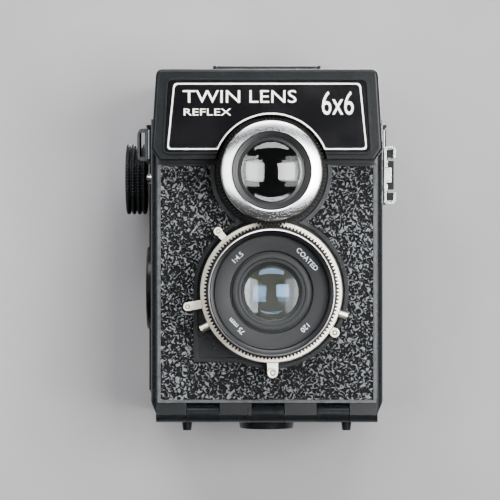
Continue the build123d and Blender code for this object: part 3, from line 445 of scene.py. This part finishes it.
nickel = plated("nickel_plate", "f6efe0", 0.36, worn="e6dece")
bright_nickel = plated("bright_nickel_plate", "e4e2dc", 0.22, worn="d3d0c8")
toothed_metal = plated("blackened_brass", "1b1a18", 0.40, worn="282522")
spring_steel = plated("rolled_steel", "9a978f", 0.34, worn="8a877f")
bush_brass = plated("turned_brass", "b08a4c", 0.30, worn="93713c")
dress(nickel, "speed_ring", "aperture_lever", "cocking_lever", "release_lever", "shutter_sockets")
dress(bright_nickel, "film_roller_lower", "film_roller_upper", "winding_shaft", "spool_pins", "hinge_pin",
      "body_screws")
dress(spring_steel, "pressure_springs")
dress(bush_brass, "tripod_bush")


# ---- Heads of the four levers ----
# Nickelled rivets with a turned groove, closed over the end of each lever. The groove is coloured dark.

# each: the part and its body, then distance from the axis, direction and radius
LEVER_HEADS = (("speed_ring", 28.5, 131.4, 1.45), ("cocking_lever", 30.2, 190.2, 1.45),
               ("aperture_lever", 28.8, 271.0, 1.8), ("release_lever", 26.9, 327.1, 1.6))
# The groove of each head is coloured dark.
groove_black = plain_paint("groove_dark", "23211d", 0.4)


def make_head(centre, front, radius):
    """A rivet head, turned from the middle out to its rim."""
    shape = bmesh.new()
    outline = [(0, 0.22), (0.30, 0.22), (0.36, 0.30), (0.40, 0.5), (0.60, 0.5), (0.64, 0.25), (0.70, 0.18),
               (0.90, 0.18), (1.0, 0.32), (1.0, 0.62)]
    points = [shape.verts.new((centre.x + share * radius * MM, (front - 0.2 + y) * MM, centre.z))
              for share, y in outline]
    edges = [shape.edges.new(pair) for pair in zip(points, points[1:])]
    bmesh.ops.spin(shape, geom=points + edges, cent=(centre.x, 0, centre.z), axis=(0, 1, 0), angle=2 * pi,
                   steps=40, use_merge=True)
    bmesh.ops.remove_doubles(shape, verts=shape.verts, dist=0.0005 * MM)
    bmesh.ops.recalc_face_normals(shape, faces=shape.faces)
    for face in shape.faces:
        spot = face.calc_center_median()
        reach = hypot(spot.x - centre.x, spot.z - centre.z)
        face.material_index = int(radius * 0.34 * MM < reach < radius * 0.63 * MM)
    return shape


for node, distance, degrees, radius in LEVER_HEADS:
    a = radians(degrees)
    centre = taking + Vector((distance * cos(a), 0, distance * sin(a))) * MM
    front = min(v.co.y for v in nodes[node].data.vertices
                if hypot(v.co.x - centre.x, v.co.z - centre.z) < radius * 1.05 * MM) / MM
    head = finished(node + "_head", make_head(centre, front - 0.05, radius), node, nickel)
    head.data.materials.append(groove_black)


# ---- Inside of the camera ----
# Steel and brass parts stove enamelled in dead black, so that no stray light reaches the film or the screen.
# The leaves of the shutter and the iris are bare steel with a dull film of oil.

leaf_finish = plain_paint("dull_leaf_steel", "d2ccb2", 0.5)
dress(leaf_finish, "shutter_blade_right", "shutter_blade_left", *[f"iris_blade_{k + 1}" for k in range(5)])
dead_black = plain_paint("dead_black_enamel", "0a0a0b", 0.5, shine=0.12)
dress(dead_black, "light_baffle", "film_gate", "mirror_frame", "left_flap", "right_flap", "rear_flap",
      "magnifier_frame", "viewing_sleeve", "shutter_housing", "shutter_cover", "pressure_plate")


# ---- Bright fittings ----
# Sheet steel, pressed and chrome plated. The shoe is kept bright by use, and the strap lugs are a darker
# chrome.

chrome = plated("chrome_plate", "eef0f2", 0.20, worn="e0e2e4")
# The strap lugs are given a darker chrome than the shoe.
dull_chrome = plated("darker_chrome_plate", "74777a", 0.28, worn="64676a")
dress(chrome, "accessory_shoe")
dress(dull_chrome, "strap_lug_left", "strap_lug_right")


# ---- Viewing lens trim ring ----
# Aluminium, turned to a shallow cone. The lathe tool left fine marks that run across the cone, so the light
# spreads in fans from the middle.


def turned(profile, centre, steps=192):
    """Turns a closed outline of (radius, y) points, in millimetres, round the lens axis through centre."""
    shape = bmesh.new()
    points = [shape.verts.new((centre.x + r * MM, y * MM, centre.z)) for r, y in profile]
    edges = [shape.edges.new(pair) for pair in zip(points, points[1:] + points[:1])]
    bmesh.ops.spin(shape, geom=points + edges, cent=(centre.x, 0, centre.z), axis=(0, 1, 0), angle=2 * pi,
                   steps=steps, use_merge=True)
    bmesh.ops.remove_doubles(shape, verts=shape.verts, dist=0.0005 * MM)
    bmesh.ops.recalc_face_normals(shape, faces=shape.faces)
    return shape


def fan_brushed(name, colour, roughness, centre, rays=420.0):
    """Bright metal brushed so that its marks point at the axis."""
    material = new_material(name)
    where = add(material, "ShaderNodeTexCoord").outputs["Object"]
    place = add(material, "ShaderNodeMapping", {"Vector": where, "Location": (-centre.x, 0, -centre.z)})
    split = add(material, "ShaderNodeSeparateXYZ", {"Vector": place.outputs["Vector"]})
    angle = figure(material, "ARCTAN2", split.outputs["Z"], split.outputs["X"])
    turn = figure(material, "MULTIPLY", angle, rays / (2 * pi))
    marks = add(material, "ShaderNodeTexNoise", {"W": turn, "Scale": 1.0, "Detail": 3.0},
                noise_dimensions="1D")
    gloss = add(material, "ShaderNodeMath", {0: marks.outputs["Fac"], 1: 0.14, 2: roughness - 0.07},
                operation="MULTIPLY_ADD")
    bump = add(material, "ShaderNodeBump", {"Height": marks.outputs["Fac"], "Strength": 0.25,
                                            "Distance": 0.03 * MM})
    finish = {"Base Color": linear(colour), "Metallic": 1.0, "Roughness": gloss.outputs[0]}
    add(material, "ShaderNodeBsdfPrincipled", {**finish, "Normal": bump.outputs["Normal"]})
    return material


trim_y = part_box("viewing_trim_ring")[0].y / MM
finished("viewing_bright_ring", turned([(17.75, trim_y + 1.75), (17.75, trim_y + 1.3), (17.6, trim_y + 1.05),
                                        (17.3, trim_y + 0.9), (14.3, trim_y + 0.02), (14.05, trim_y),
                                        (13.8, trim_y + 0.15), (13.75, trim_y + 0.5), (13.75, trim_y + 1.75)],
                                       viewing),
         "viewing_ring", fan_brushed("fan_brushed_aluminium", "eceef0", 0.20, viewing),
         ["viewing_trim_ring"])


# ---- Focusing ring of the taking lens ----
# Brass, turned, cut with fine teeth that mesh with the viewing lens's ring, and blackened. The edge of its
# front rim is turned bright after blackening, and the bevel inside it is lacquered.

TEETH = 112
TOOTH_TIP, TOOTH_ROOT = 23.88, 23.02
teeth_y = -39.2, -33.6


def make_focus_ring():
    shape = turned([(22.7, teeth_y[0]), (22.5, -49.0), (22.3, -49.4), (22.1, -49.75), (21.85, -49.95),
                    (21.7, -50.0), (21.5, -49.9), (21.3, -49.6), (20.4, -49.3), (20.1, -49.1), (20.1, -45.4),
                    (20.1, teeth_y[0]), (20.1, teeth_y[1]), (22.6, teeth_y[1])], taking)
    for face in shape.faces:
        spot = face.calc_center_median()
        reach = hypot(spot.x - taking.x, spot.z - taking.z)
        if reach < 22.0 * MM:
            face.material_index = 2
        if spot.y < -49.6 * MM and 21.65 * MM < reach < 22.15 * MM:
            face.material_index = 1
    rows = []
    front, back = teeth_y
    for y, shrink in ((front, 0.12), (front + 0.15, 0.0), (back - 0.15, 0.0), (back, 0.12)):
        row = []
        for k in range(TEETH):
            for reach, half in ((TOOTH_ROOT, -0.47), (TOOTH_TIP - shrink, -0.16), (TOOTH_TIP - shrink, 0.16),
                                (TOOTH_ROOT, 0.47)):
                a = radians(90 + 360 * k / TEETH) + half / reach
                row.append(shape.verts.new((taking.x + reach * MM * cos(a), y * MM,
                                            taking.z + reach * MM * sin(a))))
        rows.append(row)
    for near, far in zip(rows, rows[1:]):
        for k in range(len(near)):
            n = (k + 1) % len(near)
            shape.faces.new((near[k], near[n], far[n], far[k]))
    for row in (rows[0], rows[-1]):
        inner = []
        for v in row:
            away = Vector((v.co.x - taking.x, 0, v.co.z - taking.z)).normalized() * 22.3 * MM
            inner.append(shape.verts.new((taking.x + away.x, v.co.y, taking.z + away.z)))
        for k in range(len(row)):
            n = (k + 1) % len(row)
            shape.faces.new((row[k], row[n], inner[n], inner[k]))
    bmesh.ops.recalc_face_normals(shape, faces=shape.faces)
    return shape


ring = finished("taking_focus_ring", make_focus_ring(), "focus_ring", toothed_metal,
                ["focus_ring"])
ring.data.materials.append(plated("bright_turned_edge", "ececec", 0.40, edge=None))
lacquer = plain_paint("satin_black_lacquer", "08080a", 0.35, shine=0.3)
ring.data.materials.append(lacquer)


# ---- Toothed ring and barrel of the viewing lens ----
# The same blackened brass. Inside the bright ring the barrel is lacquered black, in steps.

LACQUER_RADIUS = 17.6 * MM


def lacquered_brass():
    """Blackened brass outside and black lacquer inside one radius of the viewing lens."""
    material = new_material("blackened_brass_lacquered_inside")
    where = add(material, "ShaderNodeTexCoord").outputs["Object"]
    reach = from_axis(material, where, viewing.x, viewing.z)
    outside = figure(material, "GREATER_THAN", reach, LACQUER_RADIUS)
    fine = add(material, "ShaderNodeTexNoise", {"Vector": where, "Scale": 1500.0, "Detail": 4.0})
    tint = ramp(material, outside, [(0.4, "08080a"), (0.6, "1b1a18")])
    gloss = add(material, "ShaderNodeMath", {0: fine.outputs["Fac"], 1: 0.12, 2: 0.32},
                operation="MULTIPLY_ADD")
    rounded = add(material, "ShaderNodeBevel", {"Radius": 0.12 * MM}, samples=4)
    finish = {"Base Color": tint, "Metallic": outside, "Roughness": gloss.outputs[0],
              "Specular IOR Level": 0.3}
    add(material, "ShaderNodeBsdfPrincipled", {**finish, "Normal": rounded.outputs["Normal"]})
    return material


dress(lacquered_brass(), "viewing_gear_ring")


# ---- Name ring of the taking lens ----
# Aluminium, turned and anodised black with a fine satin grit. Stepped rings lead down to the front glass. The
# markings are engraved and filled with pale grey paint.

anodised = plain_paint("satin_black_anodising", "222324", 0.50, shine=0.12, grit=5000.0, strength=0.5)
pale_fill = plain_paint("pale_grey_fill", "bcc7d2", 0.5)
face_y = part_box("lens_name_ring")[0].y / MM
finished("name_ring", turned([(20.0, face_y + 5.8), (20.0, face_y + 0.15), (19.85, face_y), (14.8, face_y),
                              (14.6, face_y + 0.1), (14.2, face_y + 1.0), (14.2, face_y + 1.5),
                              (13.6, face_y + 1.5), (13.55, face_y + 0.4), (13.4, face_y + 0.3),
                              (12.1, face_y + 0.2), (11.9, face_y + 0.3), (11.75, face_y + 0.8),
                              (11.55, face_y + 0.75), (10.7, face_y + 0.85), (10.5, face_y + 1.0),
                              (10.2, face_y + 1.7), (9.6, face_y + 2.0), (9.5, face_y + 2.1),
                              (9.5, face_y + 5.8)], taking),
         "taking_cell", anodised, ["lens_name_ring"], bevel=0.03)

MARKINGS = (("1:4.5", 134.5), ("75 mm", 224.0), ("COATED", 43.0), ("120", -46.0))
for words, degrees in MARKINGS:
    a = radians(degrees)
    base = 16.15 * MM
    printed("marking_" + words.replace(":", "_").replace(" ", "_"), words, 1.75 * MM,
            (taking.x + base * cos(a), (face_y - 0.005) * MM, taking.z + base * sin(a)), "taking_cell",
            pale_fill, turn=a - pi / 2, centre=True, thick=0.02)


# ---- Lens glasses ----
# Crown glass, ground and polished. The taking lens is coated, so what it reflects looks blue. The viewing
# lens isn't, and reflects plain white. Its front element has a bevel painted black round its edge.


def clear_glass(name, tint, reflection=(1, 1, 1, 1)):
    material = new_material(name)
    where = add(material, "ShaderNodeTexCoord").outputs["Object"]
    dust = add(material, "ShaderNodeTexNoise", {"Vector": where, "Scale": 900.0, "Detail": 6.0})
    gloss = ramp(material, dust.outputs["Fac"], [(0.6, 0.0), (0.9, 0.03)])
    add(material, "ShaderNodeBsdfPrincipled", {"Base Color": linear(tint), "Roughness": gloss, "IOR": 1.6,
                                               "Transmission Weight": 1.0, "Specular Tint": reflection,
                                               "Specular IOR Level": 1.0})
    return material


def make_glass(radius, front, front_sag, back, back_sag, centre, rings=14, bevel=0.0):
    """A lens element. Each face is a sphere that bulges outwards by its sag at the middle, and a flat bevel
    of the given width round the front is painted black."""
    def face(y, sag, way, reach):
        sphere = (reach ** 2 + sag ** 2) / (2 * sag)
        points = []
        for k in range(rings + 1):
            r = reach * k / rings
            points.append((r, y + way * ((sphere ** 2 - r ** 2) ** 0.5 - (sphere - sag))))
        return points
    outline = face(front, front_sag, -1, radius - bevel)
    if bevel:
        outline.append((radius, front))
    shape = turned(outline + face(back, back_sag, 1, radius)[::-1], centre, steps=96)
    for spot in shape.faces if bevel else ():
        middle = spot.calc_center_median()
        reach = hypot(middle.x - centre.x, middle.z - centre.z)
        painted = reach > (radius - bevel) * MM * 0.999 and middle.y < (front + 0.1) * MM
        spot.material_index = int(painted and abs(spot.normal.y) > 0.9)
    return shape


coated_glass = clear_glass("coated_crown_glass", "eef4fb", (0.35, 0.6, 1.0, 1))
plain_glass = clear_glass("crown_glass", "f4f6f6")
front_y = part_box("taking_front_glass")
finished("taking_glass", make_glass(9.4, front_y[0].y / MM + 1.7, 2.8, front_y[1].y / MM - 0.5, 0.5, taking),
         "taking_cell", coated_glass, ["taking_front_glass"])
view_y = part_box("viewing_glasses")[0].y / MM + 1.5
front_element = make_glass(11.8, view_y, 2.5, view_y + 2.7, 0.4, viewing, bevel=1.2)
rear_element = make_glass(11.3, view_y + 6.7, 0.2, view_y + 8.7, 1.1, viewing)
viewing_glass = finished("viewing_front_glass", front_element, "viewing_cell", plain_glass,
                         ["viewing_glasses"])
viewing_glass.data.materials.append(lacquer)
finished("viewing_rear_glass", rear_element, "viewing_cell", plain_glass)
dress(plain_glass, "inner_glasses", "magnifier_lens")


def flat_glass(name, colour, roughness):
    """Glass or acetate with a faintly uneven face."""
    material = new_material(name)
    where = add(material, "ShaderNodeTexCoord").outputs["Object"]
    frost = add(material, "ShaderNodeTexNoise", {"Vector": where, "Scale": 6000.0, "Detail": 2.0})
    bump = add(material, "ShaderNodeBump", {"Height": frost.outputs["Fac"], "Strength": 0.4,
                                            "Distance": 0.01 * MM})
    finish = {"Base Color": linear(colour), "Roughness": roughness, "IOR": 1.5, "Transmission Weight": 1.0}
    add(material, "ShaderNodeBsdfPrincipled", {**finish, "Normal": bump.outputs["Normal"]})
    return material


dress(flat_glass("ground_glass", "f2f4f2", 0.5), "focusing_screen")
dress(flat_glass("clear_red_acetate", "c01010", 0.1), "red_windows")

silvered = new_material("front_silvered_glass")
add(silvered, "ShaderNodeBsdfPrincipled", {"Base Color": linear("eef0f0"), "Metallic": 1.0,
                                           "Roughness": 0.03})
dress(silvered, "reflex_mirror")


# ---- Winding knob ----
# Black plastic, moulded with four rounded ridges round it, each cut by fine notches for grip.

knob_low, knob_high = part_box("winding_knob")
knob_middle = (knob_low + knob_high) / 2
RIDGES = 4
RIDGE_HEIGHT = 1.25 * MM
NOTCHES = 72
NOTCH_DEPTH, NOTCH_SHARE = 0.32 * MM, 0.3   # share of each pitch that the notch takes


def make_knob():
    """Turned outline along X, then the notches pressed into the ridges."""
    radius = (knob_high.z - knob_low.z) / 2
    length = knob_high.x - knob_low.x
    pitch = length / RIDGES
    outline = [(knob_high.x, 0.0), (knob_high.x, radius - 1.6 * MM)]
    for ridge in range(RIDGES):
        middle = knob_high.x - pitch * (ridge + 0.5)
        for step in range(9):
            a = pi * step / 8
            outline.append((middle + cos(a) * pitch * 0.42, radius - RIDGE_HEIGHT + sin(a) * RIDGE_HEIGHT))
    outline += [(knob_low.x + 0.05 * MM, radius - 2.2 * MM), (knob_low.x + 0.1 * MM, 9.5 * MM),
                (knob_low.x + 0.9 * MM, 9.0 * MM), (knob_low.x + 0.9 * MM, 0.0)]
    shape = bmesh.new()
    points = [shape.verts.new((x, knob_middle.y, knob_middle.z + r)) for x, r in outline]
    edges = [shape.edges.new(pair) for pair in zip(points, points[1:])]
    bmesh.ops.spin(shape, geom=points + edges, cent=(0, knob_middle.y, knob_middle.z), axis=(1, 0, 0),
                   angle=2 * pi, steps=NOTCHES * 4, use_merge=True)
    bmesh.ops.remove_doubles(shape, verts=shape.verts, dist=0.0005 * MM)
    for v in shape.verts:
        out = Vector((0, v.co.y - knob_middle.y, v.co.z - knob_middle.z))
        if out.length > radius - 1.3 * MM:
            phase = (atan2(out.z, out.y) / (2 * pi) * NOTCHES) % 1
            if phase < NOTCH_SHARE:
                v.co -= out.normalized() * NOTCH_DEPTH
    bmesh.ops.recalc_face_normals(shape, faces=shape.faces)
    return shape


knob_plastic = moulded_plastic("satin_black_knob", "18191a", 0.36, edge=0.1 * MM)
finished("knurled_knob", make_knob(), "winder", knob_plastic, ["winding_knob"], sharp=40)


# ---- Setting and light ----
# The camera lies on its back on pale grey paper, between two windows and below a skylight. The paper shows
# from its lit side alone.

paper = new_material("pale_grey_paper")
spot = add(paper, "ShaderNodeTexCoord").outputs["Object"]
mottle = add(paper, "ShaderNodeTexNoise", {"Vector": spot, "Scale": 14.0, "Detail": 6.0})
paper_tint = ramp(paper, mottle.outputs["Fac"], [(0.3, "a8a7a9"), (0.75, "b3b2b4")])
diffuse = add(paper, "ShaderNodeBsdfDiffuse", {"Color": paper_tint})
unseen = add(paper, "ShaderNodeBsdfTransparent")
side = add(paper, "ShaderNodeNewGeometry").outputs["Backfacing"]
either = add(paper, "ShaderNodeMixShader", {0: side, 1: diffuse.outputs[0], 2: unseen.outputs[0]})
paper.node_tree.links.new(either.outputs[0], paper.node_tree.nodes["Material Output"].inputs["Surface"])

ground = bmesh.new()
bmesh.ops.create_grid(ground, x_segments=1, y_segments=1, size=2.5)
bmesh.ops.transform(ground, verts=ground.verts, matrix=Matrix.Translation((0, cad_box[1].y + 0.0005, 0))
                    @ Matrix.Rotation(pi / 2, 4, "X"))
paper_mesh = bpy.data.meshes.new("paper")
ground.to_mesh(paper_mesh)
ground.free()
paper_mesh.materials.append(paper)
paper_sheet = bpy.data.objects.new("paper", paper_mesh)
bpy.context.collection.objects.link(paper_sheet)


def window(name, place, aim, width, height, power, colour):
    """A large soft light."""
    light = bpy.data.lights.new(name, "AREA")
    light.shape, light.size, light.size_y = "RECTANGLE", width, height
    light.energy = power
    light.color = colour
    holder = bpy.data.objects.new(name, light)
    holder.location = place
    holder.rotation_euler = (Vector(aim) - Vector(place)).to_track_quat("-Z", "Y").to_euler()
    bpy.context.collection.objects.link(holder)
    return holder


heart = Vector((0, 0, 0.065))
window("window_left", (-0.56, -1.15, 0.12), heart, 0.66, 0.62, 7.5, (1.0, 1.0, 1.0))
window("window_right", (0.56, -1.15, 0.12), heart, 0.66, 0.62, 23, (1.0, 1.0, 1.0))
window("sky_light", (0.0, -0.55, 0.90), heart, 1.0, 0.5, 17, (0.97, 0.99, 1.0))

# The paper lies right behind the camera and would keep this light from its back, so the paper neither blocks
# it nor shows it.
rear_light = window("rear_light", (0.35, 1.15, 0.55), heart, 0.8, 0.8, 34, (1.0, 1.0, 1.0))
camera_pieces = bpy.data.collections.new("camera_pieces")
for piece in bpy.data.objects:
    if piece.type == "MESH" and piece != paper_sheet:
        camera_pieces.objects.link(piece)
rear_light.light_linking.receiver_collection = camera_pieces
rear_light.light_linking.blocker_collection = camera_pieces

room = bpy.data.worlds.new("room")
room.use_nodes = True
room.node_tree.nodes["Background"].inputs["Color"].default_value = linear("c4c6c9")
room.node_tree.nodes["Background"].inputs["Strength"].default_value = 0.07
bpy.context.scene.world = room

FRONT_PLATE_Y = -0.022
VIEW_DISTANCE = 0.9
VIEW_WIDTH = 0.179                 # width of the view in the front plate's plane
lens = bpy.data.cameras.new("camera")
lens.sensor_width = 36
lens.lens = 36 * VIEW_DISTANCE / VIEW_WIDTH
eye = bpy.data.objects.new("camera", lens)
eye.location = (-0.00605, FRONT_PLATE_Y - VIEW_DISTANCE, 0.0651)
eye.rotation_euler = (pi / 2, 0, 0)
bpy.context.collection.objects.link(eye)
bpy.context.scene.camera = eye
